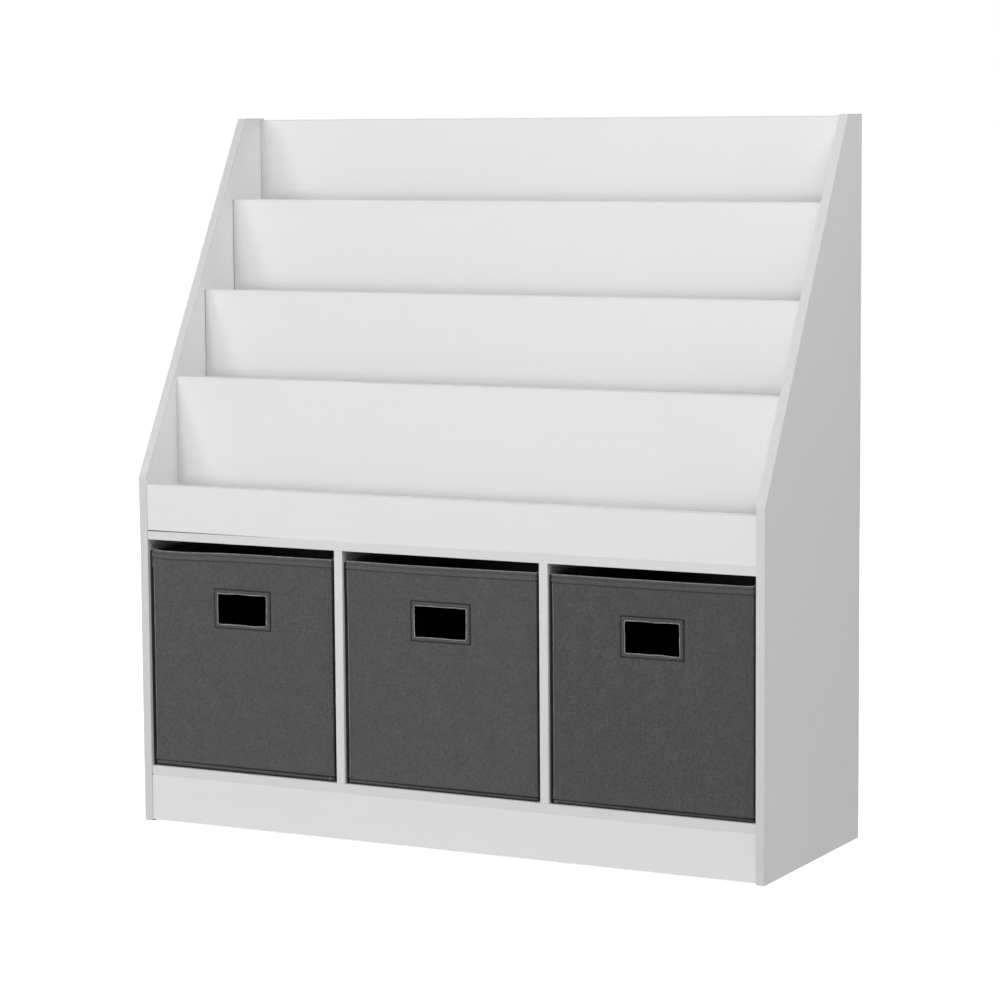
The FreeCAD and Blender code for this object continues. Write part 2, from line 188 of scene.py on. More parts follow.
FLARE_FALL = 80.0 * MM
FLARE_REACH = 60.0 * MM
FLARE_DEPTH = 90.0 * MM

# Cover's foot below its seam, as shares of the seam's height: height, and how far it stands out
FOOT_ROLL = ((0.0, -0.75), (0.12, -0.5), (0.25, -0.22), (0.4, -0.02), (0.58, 0.07), (0.78, 0.04),
             (1.0, 0.0))
# The same above the seam, in mm
FOOT_LIP = ((0.4, 0.1), (0.9, 0.6), (1.7, 0.95), (3.5, 0.7), (8.0, 0.3), (16.0, 0.05), (26.0, 0.0))
FOOT_SETTLE = FOOT_LIP[-1][0] * MM

# Lining
LINING_THICKNESS = 0.8 * MM
LINING_WAVE = 0.4 * MM
LINING_WAVES_ROUND = 11.0
LINING_WAVES_UP = 9.0
LINING_RISE = 30.0 * MM

# Rim tape from the fold down, in mm: depth below the rim, and how far it stands out from the wall
HEM_PROFILE = ((0.0, -2.2), (0.3, -0.9), (0.9, 0.1), (1.7, 0.8), (2.7, 1.05), (3.7, 0.7), (4.4, -0.3),
               (5.0, -0.3), (5.8, 0.7), (6.9, 1.2), (8.2, 1.45), (9.4, 1.4), (10.2, 1.0), (10.6, -0.2))
HEM_HEIGHT = HEM_PROFILE[-1][0] * MM
HEM_STITCH_DEPTH = 4.7 * MM
HEM_STITCH_SINK = 0.2 * MM
HEM_STITCH_STEP = 12.0 * MM
HEM_INSIDE = 0.6
HEM_SIDE_THIN = 0.5
PUCKER = 0.45 * MM
PUCKERS = 130.0
PUCKER_SLANT = 90.0
PUCKER_FALL = 60.0
PUCKER_START = (3.5 * MM, 7.0 * MM)
RIM_SETTLE = 0.5 * MM
RIM_SWAY = 0.3 * MM
RIM_SWAYS = 14.0
SAG_FADE = 60.0 * MM
SAG_CORNER = 12.0 * MM
SAG_FALL = 60.0 * MM
TUCK = 1.2 * MM
TUCK_DROP = 0.3 * MM
TUCK_WIDTH = 0.9 * MM

# Handle slot: padded border, sunk seam round it and light piping
SLOT_BORDER = 4.9 * MM
SLOT_CORNER = 2.2 * MM
SLOT_FLARE = 3.2 * MM
SLOT_STEP = 3.0 * MM
FRAME_GROOVE = 2.2 * MM
FRAME_GROOVE_WIDTH = 1.0 * MM
FRAME_CORNER = 1.0 * MM
FRAME_RIPPLE = 0.12 * MM
FRAME_RIPPLES = 120.0
FRAME_THREAD = 0.4 * MM
FRAME_THREAD_SINK = 0.7 * MM
PIPING_RADIUS = 0.65 * MM
PIPING_STEP = 2.5 * MM
PIPING_SWAY = 1.0 * MM
PIPING_SWAYS = 45.0
PIPING_FRONT = 0.45 * MM
PIPING_LIFT = 0.3
# The border from its outer edge to the slot and on inside, in mm: out from the slot, and back
FRAME_PROFILE = ((4.8, 1.4), (4.5, 0.5), (4.0, -0.3), (3.185, -0.75), (1.715, -0.75), (0.5, -0.4),
                 (0.0, 0.3), (1.0, 1.5), (2.8, 4.3), (3.2, 4.9), (5.2, 5.2), (7.2, 4.7))

# Threads and cords
CORD_SIDES = 8
STITCH_LENGTH = 2.4 * MM
STITCH_PITCH = 3.6 * MM
STITCH_RADIUS = 0.35 * MM
STITCH_SIDES = 6
# One stitch as shares: place along its length, and thickness
STITCH_BEAD = ((-0.5, 0.3), (-0.3, 1.0), (0.3, 1.0), (0.5, 0.3))
RIM_CORD_RADIUS = 0.65 * MM
SEAM_CORD = 0.55 * MM
SEAM_START = 2.0 * MM
SEAM_END = 1.0 * MM
SEAM_STEP = 8.0 * MM
SEAM_RUN = 4
# Foot seam: a dark thread whose colour and thickening towards the right paint the seam's shade, and a
# dark cord along the base that is painted contact shadow
FOOT_THREAD = 0.8 * MM
FOOT_THREAD_SINK = 0.35 * MM
FOOT_SHADE_LEAST = 0.35
FOOT_SHADE_SPAN = (0.12, 0.5)
FOOT_UNEVEN = 0.25
FOOT_KNOTS = 90.0
FOOT_SHADE = 0.65 * MM
FOOT_SHADE_SINK = 0.5 * MM
TACK = 0.8 * MM
TACK_FRONT = 0.5 * MM
# The tack as shares: height in the foot strip, and thickness
TACK_SHAPE = ((0.25, 0.5), (0.45, 1.0), (0.65, 1.0), (0.85, 0.5))
MEND_INSET = Vector((1.1, -0.5)) * MM
MEND_DROP = 3.0 * MM
MEND_FACING = Vector((-0.5, -0.866, 0))

# Dark strips down the front corners: painted shade for the shadow in the gaps beside each box
GAP_SHADE_STEP = 8.0 * MM
GAP_SHADE_START = 1.0 * MM
GAP_SHADE_END = 2.0 * MM
GAP_SHADE_FRONT = 0.5 * MM
GAP_SHADE_DEPTH = 3.0 * MM
GAP_SHADE_STEPS = 6
# The right strip's section, in mm: back from the front, and out from the wall
CORNER_GAP_SHADE = ((1.0, -0.6), (1.4, 0.6), (2.2, 1.3), (5.5, 1.5), (8.0, 1.2), (9.0, -0.6))

# Stiff boards between the two fabrics, kept clear of the sewn seams
CARD_THICKNESS = 2.2 * MM
CARD_SKIN = 1.9 * MM
CARD_SIDE_GAP = 9.0 * MM
CARD_FOOT_GAP = 15.0 * MM
CARD_TOP_GAP = 7.0 * MM
CARD_FRAME_GAP = 2.6 * MM
CARD_EASE = 0.4 * MM
CARD_CORNER = 3.0 * MM
CARD_STEP = 20.0 * MM
INSERT_TURNS = [math.radians(turn) for turn in range(-90, 91, 30)]

# Dark lines of painted shade where the boards' left ends meet the side panel, in mm: radius at the top
# and at the foot
END_JOINTS = {
    "back_board": (0.2, 0.25), "tier_board_upper": (0.45, 0.45), "tier_board_middle": (0.45, 0.1),
}
JOINT_STEP = 10.0 * MM
# Painted shade in the open joints under the lip and above the plinth: length from the left end, and
# radius there
LIP_JOINT = (210.0 * MM, 0.75 * MM)
PLINTH_JOINT = (3.0 * MM, 0.8 * MM)
PLINTH_JOINT_STEP = 1.0 * MM
JOINT_TAPER = 1.05

# How each box was sewn, lengths in mm
# handle: moved across and up; foot: height of its seam; sag: of the rim, as place along the front,
# spread and depth; flare and lean: how far the left front corner leans out at the rim, and all the
# way down; welt: place across and radius of the left strip of painted shade; shade: of the dye;
# tack: place along the front; mend: length of the hand stitches
SEWN = {
    "box_1": {
        "handle": (1.0, -1.2), "foot": 6.6, "sag": (0.13, 0.22, 2.2), "flare": 0.2, "lean": 1.4,
        "welt": (-0.6, 0.8), "shade": 1.0, "tack": 0.978, "mend": 22.0,
    },
    "box_2": {
        "handle": (0.0, 0.7), "foot": 5.2, "sag": (0.45, 0.35, 0.9), "flare": 0.9, "lean": 0.7,
        "welt": (-0.3, 0.7), "shade": 1.02, "tack": None, "mend": None,
    },
    "box_3": {
        "handle": (1.6, -0.2), "foot": 4.6, "sag": (0.5, 0.9, 0.8), "flare": 0.6, "lean": 0.0,
        "welt": (-0.2, 0.7), "shade": 0.94, "tack": 0.022, "mend": None,
    },
}


# Materials
def new_material(name, colour, roughness, specular=0.5):
    """Principled material with its steady values set on the shader."""
    material = bpy.data.materials.new(name)
    material.use_nodes = True
    shader = material.node_tree.nodes["Principled BSDF"]
    shader.inputs["Base Color"].default_value = (*colour, 1.0)
    shader.inputs["Roughness"].default_value = roughness
    shader.inputs["Specular IOR Level"].default_value = specular
    return material, material.node_tree, shader


def add_node(tree, kind, inputs, operation=None):
    """New shader node with its inputs set to values or linked to sockets."""
    node = tree.nodes.new("ShaderNode" + kind)
    if operation:
        node.operation = operation
    for key, value in inputs.items():
        if isinstance(value, bpy.types.NodeSocket):
            tree.links.new(value, node.inputs[key])
        else:
            node.inputs[key].default_value = value
    return node


def place_texture(tree, stretch=EVEN):
    """Object coordinates in metres, stretched along the axes."""
    source = add_node(tree, "TexCoord", {})
    mapping = add_node(tree, "Mapping", {"Scale": stretch, "Vector": source.outputs["Object"]})
    return mapping.outputs["Vector"]


def noise_value(tree, scale, detail=2.0, stretch=EVEN):
    """Noise from 0 to 1 with a number of cells per metre."""
    inputs = {"Scale": scale, "Detail": detail, "Vector": place_texture(tree, stretch)}
    return add_node(tree, "TexNoise", inputs).outputs["Fac"]


def math_node(tree, operation, first, second):
    """Two values or sockets put together."""
    return add_node(tree, "Math", {0: first, 1: second}, operation).outputs["Value"]


def blend_values(tree, values, shares):
    """Weighted sum of values."""
    total = None
    for value, share in zip(values, shares):
        part = math_node(tree, "MULTIPLY", value, share)
        total = part if total is None else math_node(tree, "ADD", total, part)
    return total


def vary_colour(tree, shader, colour, value, low, high):
    """Colour made darker and lighter by a value from 0 to 1."""
    tones = add_node(tree, "ValToRGB", {"Fac": value})
    for stop, position, factor in zip(tones.color_ramp.elements, TONE_RANGE, (low, high)):
        stop.position = position
        stop.color = (*[c * factor for c in colour], 1.0)
    tree.links.new(tones.outputs["Color"], shader.inputs["Base Color"])


def add_bump(tree, shader, height, strength, distance):
    """Small relief from a height value."""
    bump = add_node(tree, "Bump", {"Strength": strength, "Distance": distance, "Height": height})
    tree.links.new(bump.outputs["Normal"], shader.inputs["Normal"])


def vary_roughness(tree, shader, value, low, high):
    """Roughness between two values."""
    spread = math_node(tree, "MULTIPLY", value, high - low)
    tree.links.new(math_node(tree, "ADD", spread, low), shader.inputs["Roughness"])


def board_material(name, colour, roughness, pore_scale, grain):
    """Melamine, edge band or painted board: faint streaks along the grain and a fine relief."""
    material, tree, shader = new_material(name, colour, roughness, specular=0.4)
    streaks = noise_value(tree, scale=150.0, detail=3.0, stretch=grain)
    cloudy = noise_value(tree, scale=9.0, detail=3.0)
    tone = blend_values(tree, (streaks, cloudy), shares=(0.6, 0.4))
    vary_colour(tree, shader, colour, tone, low=0.988, high=1.007)
    pores = noise_value(tree, pore_scale, detail=3.0)
    vary_roughness(tree, shader, pores, low=roughness - 0.05, high=roughness + 0.07)
    add_bump(tree, shader, pores, strength=0.08, distance=0.2 * MM)
    return material


def fabric_material(name, colour, mottle):
    """Felted fabric: crossed fibres, a fine speckle and a dull sheen."""
    material, tree, shader = new_material(name, colour, roughness=0.92, specular=0.15)
    shader.inputs["Sheen Weight"].default_value = 0.06
    shader.inputs["Sheen Roughness"].default_value = 0.5
    upright = noise_value(tree, FIBRE_SCALE, stretch=FIBRES_UPRIGHT)
    level = noise_value(tree, FIBRE_SCALE, stretch=FIBRES_LEVEL)
    speckle = noise_value(tree, scale=420.0, detail=3.0)
    clumps = noise_value(tree, scale=45.0)
    fibres = blend_values(tree, (upright, level, speckle), shares=(0.3, 0.3, 0.4))
    above = math_node(tree, "SUBTRACT", clumps, CLUMP_THRESHOLD)
    thick = math_node(tree, "MULTIPLY", above, CLUMP_GAIN)
    felting = math_node(tree, "MAXIMUM", thick, CLUMP_LEAST)
    fuzz = math_node(tree, "MULTIPLY", math_node(tree, "SUBTRACT", fibres, NOISE_MIDDLE), felting)
    tone = blend_values(tree, (fuzz, clumps, speckle), shares=(1.0, 0.25, 0.75))
    vary_colour(tree, shader, colour, tone, low=1.0 - mottle, high=1.0 + mottle)
    add_bump(tree, shader, fibres, strength=0.35, distance=0.4 * MM)
    return material


def grained_material(name, colour, stretch, scale):
    """Bare wood or board with grain along one axis."""
    material, tree, shader = new_material(name, colour, roughness=0.6, specular=0.3)
    grain = noise_value(tree, scale, detail=4.0, stretch=stretch)
    vary_colour(tree, shader, colour, grain, low=0.8, high=1.12)
    add_bump(tree, shader, grain, strength=0.2, distance=0.2 * MM)
    return material


def metal_material(name, colour, roughness):
    """Zinc-plated metal with uneven plating."""
    material, tree, shader = new_material(name, colour, roughness)
    shader.inputs["Metallic"].default_value = 1.0
    plating = noise_value(tree, scale=900.0, detail=3.0)
    vary_colour(tree, shader, colour, plating, low=0.9, high=1.08)
    vary_roughness(tree, shader, plating, low=roughness - 0.08, high=roughness + 0.1)
    return material


def thread_material(name, colour, uneven):
    """Sewing thread with twisted strands, lighter and darker along its run."""
    material, tree, shader = new_material(name, colour, roughness=0.8, specular=0.2)
    strands = noise_value(tree, scale=2500.0, detail=1.0)
    runs = noise_value(tree, scale=120.0, detail=1.0)
    tone = blend_values(tree, (strands, runs), shares=(0.4, 0.6))
    vary_colour(tree, shader, colour, tone, low=1.0 - uneven, high=1.0 + uneven)
    add_bump(tree, shader, strands, strength=0.3, distance=0.1 * MM)
    return material


def make_materials():
    """All materials by name."""
    made = {"lining_fabric": fabric_material("lining_fabric", LINING_COLOUR, LINING_MOTTLE)}
    kinds = (
        (board_material, BOARDS), (grained_material, GRAINED), (metal_material, METALS),
        (thread_material, THREADS),
    )
    for make, table in kinds:
        for name, values in table.items():
            made[name] = make(name, *values)
    for body, sewn in SEWN.items():
        for name, shade in ((body + "_fabric", 1.0), (body + "_tape", TAPE_SHADE)):
            made[name] = fabric_material(name, [c * sewn["shade"] * shade for c in FABRIC], MOTTLE)
    return made


materials = make_materials()


# Boards and fittings keep their solids and get finished edges and materials
def node_material(name, slot):
    """Finish of a carried-over solid."""
    if name in UPRIGHT_GRAIN:
        return materials["white_laminate_upright"]
    if name in SIDE_BANDS:
        return materials["white_side_band"]
    return materials[SLOT_FABRICS.get(slot, slot)]


def dress_nodes():
    """Gives every solid its material, and the boards and bands eased edges."""
    for entry in frame["record"]["subparts"]:
        name, slot = entry["node"], entry["material_slot"]
        node = nodes[name]
        node.data.materials.clear()
        node.data.materials.append(node_material(name, slot))
        if slot in ("white_laminate", "white_edge_band"):
            soften_edges(node)


def soften_edges(node):
    """Rounds a board's sharp arrises a little."""
    weld = node.modifiers.new("weld", "WELD")
    weld.merge_threshold = WELD_DISTANCE
    bevel = node.modifiers.new("arris", "BEVEL")
    bevel.width = ARRIS
    bevel.segments = ARRIS_STEPS
    bevel.limit_method = "ANGLE"
    bevel.angle_limit = ARRIS_ANGLE


# Meshes
def make_piece(name, points, faces, material, body):
    """Smooth mesh piece, with a material by name, that rides on a body."""
    mesh = bpy.data.meshes.new(name)
    mesh.from_pydata(points, [], faces)
    mesh.materials.append(materials[material])
    mesh.shade_smooth()
    mesh.validate()
    mesh.update()
    piece = bpy.data.objects.new(name, mesh)
    bpy.context.scene.collection.objects.link(piece)
    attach(piece, body)
    return piece


def loop_faces(loops, size, around=False):
    """Quads between equal closed loops of points; around also joins the last loop to the first."""
    faces = []
    for j in range(loops if around else loops - 1):
        lower, upper = j * size, (j + 1) % loops * size
        for i in range(size):
            k = (i + 1) % size
            faces.append((lower + i, lower + k, upper + k, upper + i))
    return faces


def cap_face(start, size, up):
    """One face over a closed loop of points."""
    ring = range(start, start + size)
    return tuple(ring if up else reversed(ring))


def end_caps(loops, size):
    """Faces over the first and the last of equal closed loops of points."""
    return [cap_face(0, size, False), cap_face((loops - 1) * size, size, True)]


def turned_over(faces):
    """The same faces seen from the other side."""
    return [tuple(reversed(face)) for face in faces]


def even_steps(low, high, step):
    """Evenly spaced values between two ends, both included."""
    count = max(1, round((high - low) / step))
    return [low + (high - low) * i / count for i in range(count + 1)]


def with_marks(values, marks):
    """Values with marks added, and without values that lie too close to a mark."""
    kept = [v for v in values if all(abs(v - m) > MARK_GAP for m in marks)]
    return sorted(set(kept) | set(marks))


def marks_beside(places, offsets):
    """Grid lines at and beside given places, with the offsets in mm."""
    return [place + offset * MM for place in places for offset in offsets]


def grown(span, grow):
    """A range made longer at both ends."""
    return (span[0] - grow, span[1] + grow)


def joined_sides(sides):
    """Points and outward directions round four sides, each followed by a rounded corner."""
    outline = []
    for quarter, (side, centre, radius) in enumerate(sides):
        start = (quarter - 1) * math.pi / 2
        away = Vector((round(math.cos(start)), round(math.sin(start))))
        outline += [(Vector(place), away) for place in side]
        for i in range(1, CORNER_STEPS):
            angle = start + math.pi / 2 * i / CORNER_STEPS
            away = Vector((math.cos(angle), math.sin(angle)))
            outline.append((Vector(centre) + away * radius, away))
    return outline


def rounded_outline(low, high, step, front_marks=()):
    """Points and outward directions round an upright box, front first; its left corners are rounder."""
    left, right = CORNER_RADII
    x0, x1 = low.x + left, high.x - right
    across = even_steps(x0, x1, step)
    along_left = even_steps(low.y + left, high.y - left, step)
    along_right = even_steps(low.y + right, high.y - right, step)
    return joined_sides((
        ([(x, low.y) for x in with_marks(across, front_marks)], (x1, along_right[0]), right),
        ([(high.x, y) for y in along_right], (x1, along_right[-1]), right),
        ([(x, high.y) for x in reversed(across)], (x0, along_left[-1]), left),
        ([(low.x, y) for y in reversed(along_left)], (x0, along_left[0]), left),
    ))


def ramp(value, low, high):
    """Smooth step from 0 to 1."""
    t = min(1.0, max(0.0, (value - low) / (high - low)))
    return t * t * (3 - 2 * t)


def bell(distance, width):
    """Bell curve of a distance."""
    return math.exp(-(distance / width) ** 2)


def noise_at(x, y, z):
    """Noise from -1 to 1."""
    return noise.noise(Vector((x, y, z)))


def wave_at(x, y, z):
    """Noise from 0 to 1."""
    return 0.5 + 0.5 * noise_at(x, y, z)


# Fabric boxes
class BoxShape:
    """Measures of one fabric box, read from its solids, and how it was sewn."""

    def __init__(self, body):
        """Reads the measures of a box."""
        sewn = SEWN[body]
        self.body = body
        self.fabric = body + "_fabric"
        self.low, self.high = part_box(body + "_cover")
        self.rim_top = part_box(body + "_rim_binding")[1].z - RIM_SETTLE
        flange_low, flange_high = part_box(body + "_handle_binding")
        across, up = [shift * MM for shift in sewn["handle"]]
        self.frame_x = (flange_low.x + across, flange_high.x + across)
        self.frame_z = (flange_low.z + up, flange_high.z + up)
        self.slot_x = grown(self.frame_x, -SLOT_BORDER)
        self.slot_z = grown(self.frame_z, -SLOT_BORDER)
        self.foot = sewn["foot"] * MM
        self.sag = sewn["sag"]
        self.flare = sewn["flare"] * MM
        self.lean = sewn["lean"] * MM
        self.welt_x, self.gap_shade_radius = [size * MM for size in sewn["welt"]]
        self.tack = sewn["tack"]
        self.mend = sewn["mend"]
        self.seed = SEED_STEP * int(body[-1])

    def piece(self, name, points, faces, material, slot="grey_fabric"):
        """Mesh piece of this box."""
        return make_piece(self.body + name, points, faces, material, self.body)

    def cord(self, name, path, radii, facing, material, closed=True):
        """Cord sewn to this box."""
        make_cord(self.body + name, path, radii, facing, material, self.body, closed)

    def share(self, x):
        """Place along the front, from 0 at the left to 1 at the right."""
        return (x - self.low.x) / (self.high.x - self.low.x)

    def tilt(self, x):
        """How far the foot seam rises at a place along the front."""
        return FOOT_TILT * (0.5 - self.share(x))

    def edge(self, x):
        """Distance from the nearer side."""
        return min(x - self.low.x, self.high.x - x)

    def flared(self, spot, z):
        """How far the outer cloth leans out to the left, most at the front end of the left wall."""
        out = self.lean + self.flare * ramp(z, self.high.z - FLARE_FALL, self.high.z)
        near_front = bell(spot.y - self.low.y, FLARE_DEPTH)
        return out * near_front * (1 - ramp(spot.x - self.low.x, 0.0, FLARE_REACH))

    def frame_distance(self, x, z):
        """Signed distance from the handle border's outer rectangle, positive outside."""
        dx = max(self.frame_x[0] - x, x - self.frame_x[1])
        dz = max(self.frame_z[0] - z, z - self.frame_z[1])
        return max(dx, dz)

    def in_slot(self, spot, away, z, grow):
        """Tells whether a place on the front wall lies in the handle slot, grown by a distance."""
        across = self.slot_x[0] - grow < spot.x < self.slot_x[1] + grow
        along = self.slot_z[0] - grow < z < self.slot_z[1] + grow
        return away.y < -FACING and across and along

    def rim_height(self, spot):
        """Height of the rim at a place: it sags along the front and sways a little all round."""
        where, spread, depth = self.sag
        near_front = bell(spot.y - self.low.y, SAG_FADE) * ramp(self.edge(spot.x), 0.0, SAG_CORNER)
        sag = depth * MM * bell(self.share(spot.x) - where, spread) * near_front
        sway = noise_at(spot.x * RIM_SWAYS, spot.y * RIM_SWAYS, self.seed)
        return self.rim_top - sag + RIM_SWAY * sway


def cloth_lift(shape, spot, away, z):
    """How far the outer cloth stands off the plain wall: waves, side seams and sunk seams."""
    height = z - shape.low.z
    wave = wave_at(spot.x * WAVES_ROUND, spot.y * WAVES_ROUND + shape.seed, z * WAVES_UP)
    ripple = wave_at(spot.x * RIPPLES + shape.seed, spot.y * RIPPLES, z * RIPPLES)
    lift = WAVE_HEIGHT * wave + RIPPLE_HEIGHT * ripple - PULL_TIGHT
    below_hem = shape.rim_top - HEM_HEIGHT - z
    lift *= ramp(below_hem, *HEM_FADE)
    lift -= TUCK * bell(below_hem - TUCK_DROP, TUCK_WIDTH)
    grip = FOOT_GRIP
    if abs(away.y) > FACING:
        inward = min(spot.x - shape.low.x - LEFT_SEAM, shape.high.x - spot.x - RIGHT_SEAM)
        lift += SIDE_RIDGE * bell(inward, RIDGE_WIDTH)
        lift -= SIDE_GROOVE * bell(inward - GROOVE_INSET, GROOVE_WIDTH)
    if away.y < -FACING:
        distance = shape.frame_distance(spot.x, z)
        lift *= ramp(distance, 0.0, FRAME_FADE)
        lift -= FRAME_GROOVE * bell(distance, FRAME_GROOVE_WIDTH)
        grip = FRONT_GRIP + (1 - FRONT_GRIP) * ramp(shape.share(spot.x), *FRONT_GRIP_SPAN)
    return lift - FOOT_GROOVE * grip * bell(height - shape.foot, FOOT_GROOVE_WIDTH)


def cover_rows(shape):
    """Heights of the cover's rows with how far the foot's roll stands out there."""
    foot = [(shape.foot * share, shape.foot * out) for share, out in FOOT_ROLL]
    foot += [(shape.foot + rise * MM, out * MM) for rise, out in FOOT_LIP]
    low = shape.low.z + foot[-1][0] + WALL_STEP
    marks = marks_beside(shape.frame_z, FRAME_MARKS) + list(shape.slot_z)
    marks += marks_beside([shape.rim_top - HEM_HEIGHT], HEM_MARKS)
    plain = with_marks(even_steps(low, shape.high.z - TOP_GAP, WALL_STEP), marks)
    return [(shape.low.z + height, out) for height, out in foot] + [(z, 0.0) for z in plain]


def slotted_faces(shape, outline, heights, grow):
    """Quads of a box's shell, left open at the handle slot."""
    count = len(outline)
    faces = []
    for face in loop_faces(len(heights), count):
        row, i, k = face[0] // count, face[0] % count, face[1] % count
        middle = (outline[i][0] + outline[k][0]) / 2
        height = (heights[row] + heights[row + 1]) / 2
        if not shape.in_slot(middle, outline[i][1], height, grow):
            faces.append(face)
    return faces


def make_cover(shape):
    """Outer fabric as one shell: rounded corners, a rolled foot and the handle slot."""
    marks = marks_beside(shape.frame_x, FRAME_MARKS) + list(shape.slot_x)
    marks += marks_beside([shape.low.x + LEFT_SEAM], LEFT_MARKS)
    marks += marks_beside([shape.high.x - RIGHT_SEAM], RIGHT_MARKS)
    outline = rounded_outline(shape.low, shape.high, WALL_STEP, marks)
    rows = cover_rows(shape)
    points = []
    for z, out in rows:
        height = z - shape.low.z
        settle = 1 - ramp(height, shape.foot, shape.foot + FOOT_SETTLE)
        settle *= ramp(height, 0.0, shape.foot)
        for spot, away in outline:
            place = spot + away * (out + cloth_lift(shape, spot, away, z))
            x = place.x - shape.flared(spot, z)
            drop = shape.rim_height(spot) - shape.rim_top
            drop *= ramp(z, shape.rim_top - SAG_FALL, shape.rim_top)
            points.append((x, place.y, z + drop + settle * shape.tilt(spot.x)))
    faces = slotted_faces(shape, outline, [z for z, _ in rows], 0.0)
    faces.append(cap_face(0, len(outline), False))
    piece = shape.piece("_outer_cloth", points, faces, shape.fabric)
    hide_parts(shape.body + "_cover")


def make_lining(shape):
    """Inner fabric: a shell inside the boards, open at the top, with the handle slot."""
    inset = Vector((WALL, WALL, 0))
    low, high = shape.low + inset, shape.high - inset
    outline = rounded_outline(low, high, WALL_STEP, grown(shape.slot_x, SLOT_FLARE))
    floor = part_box(shape.body + "_lining")[0].z + LINING_THICKNESS
    heights = even_steps(floor, shape.high.z - TOP_GAP, WALL_STEP)
    rows = with_marks(heights, grown(shape.slot_z, SLOT_FLARE))
    points = []
    for z in rows:
        slack = LINING_WAVE * ramp(z, floor, floor + LINING_RISE)
        for spot, away in outline:
            x, y = spot.x * LINING_WAVES_ROUND, spot.y * LINING_WAVES_ROUND - shape.seed
            place = spot - away * (slack * wave_at(x, y, z * LINING_WAVES_UP))
            points.append((place.x, place.y, z))
    faces = turned_over(slotted_faces(shape, outline, rows, SLOT_FLARE))
    faces.append(cap_face(0, len(outline), True))
    piece = shape.piece("_inner_cloth", points, faces, "lining_fabric", "lining_fabric")
    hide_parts(shape.body + "_lining")


def make_rim(shape):
    """Folded tape over the rim, sunk along its stitches and puckered below them."""
    outline = rounded_outline(shape.low, shape.high, HEM_STEP)
    profile = [(depth * MM, out * MM) for depth, out in reversed(HEM_PROFILE)]
    profile += [(depth * MM, -WALL - HEM_INSIDE * out * MM) for depth, out in HEM_PROFILE[1:]]
    points = []
    for depth, out in profile:
        outside = out > -WALL / 2
        for spot, away in outline:
            along = spot.x * away.y - spot.y * away.x
            pucker = noise_at(along * PUCKERS + depth * PUCKER_SLANT, shape.seed, depth * PUCKER_FALL)
            pucker *= PUCKER * ramp(depth, *PUCKER_START) * math.copysign(1, out)
            thin = 1 - HEM_SIDE_THIN * abs(away.x) if out > 0 else 1.0
            place = spot + away * (out * thin + pucker)
            z = shape.rim_height(spot) - depth
            points.append((place.x - shape.flared(spot, z) * outside, place.y, z))
    faces = loop_faces(len(profile), len(outline))
    piece = shape.piece("_rim_tape", points, faces, shape.body + "_tape")
    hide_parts(shape.body + "_rim_binding")


def rounded_rectangle(x_range, z_range, radius, step):
    """Points round an upright rectangle with rounded corners, seen from the front."""
    x0, x1 = grown(x_range, -radius)
    z0, z1 = grown(z_range, -radius)
    across, up = even_steps(x0, x1, step), even_steps(z0, z1, step)
    outline = joined_sides((
        ([(x, z_range[0]) for x in across], (x1, z0), radius),
        ([(x_range[1], z) for z in up], (x1, z1), radius),
        ([(x, z_range[1]) for x in reversed(across)], (x0, z1), radius),
        ([(x_range[0], z) for z in reversed(up)], (x0, z0), radius),
    ))
    return [place for place, _ in outline]


def fitted_loop(loop, x_range, z_range):
    """The same loop of points stretched to fill another rectangle."""
    left, right = min(p.x for p in loop), max(p.x for p in loop)
    low, high = min(p.y for p in loop), max(p.y for p in loop)
    across = (x_range[1] - x_range[0]) / (right - left)
    up = (z_range[1] - z_range[0]) / (high - low)
    return [Vector((x_range[0] + (p.x - left) * across, z_range[0] + (p.y - low) * up)) for p in loop]


def make_handle(shape):
    """Sewn frame of the handle slot: padded borders outside and inside, and the flared slot between."""
    slot = rounded_rectangle(shape.slot_x, shape.slot_z, SLOT_CORNER, SLOT_STEP)
    points = []
    for out, back in FRAME_PROFILE:
        y = shape.low.y + back * MM
        for p in fitted_loop(slot, grown(shape.slot_x, out * MM), grown(shape.slot_z, out * MM)):
            ripple = noise_at(p.x * FRAME_RIPPLES, p.y * FRAME_RIPPLES, shape.seed) * FRAME_RIPPLE
            points.append((p.x, y - ripple, p.y))
    faces = loop_faces(len(FRAME_PROFILE), len(slot))
    piece = shape.piece("_handle_frame", points, faces, shape.fabric)
    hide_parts(shape.body + "_handle_binding")


def make_cord(name, path, radii, facing, material, body, closed):
    """Round cord along a path that lies in a plane, with a radius at each of its points."""
    points = []
    for i, place in enumerate(path):
        before = path[i - 1] if closed or i else place
        after = path[(i + 1) % len(path)] if closed or i + 1 < len(path) else place
        ahead = (after - before).normalized()
        across = ahead.cross(facing).normalized()
        over = across.cross(ahead)
        for s in range(CORD_SIDES):
            angle = 2 * math.pi * s / CORD_SIDES
            points.append(place + (across * math.cos(angle) + over * math.sin(angle)) * radii[i])
    faces = loop_faces(len(path), CORD_SIDES, around=closed)
    if not closed:
        faces += end_caps(len(path), CORD_SIDES)
    make_piece(name, points, faces, material, body)


def uneven_radii(path, radius, uneven, scale):
    """Radius at each point of a path, uneven by a share, with a number of cells per metre."""
    return [radius * (1 + uneven * noise.noise(p * scale)) for p in path]


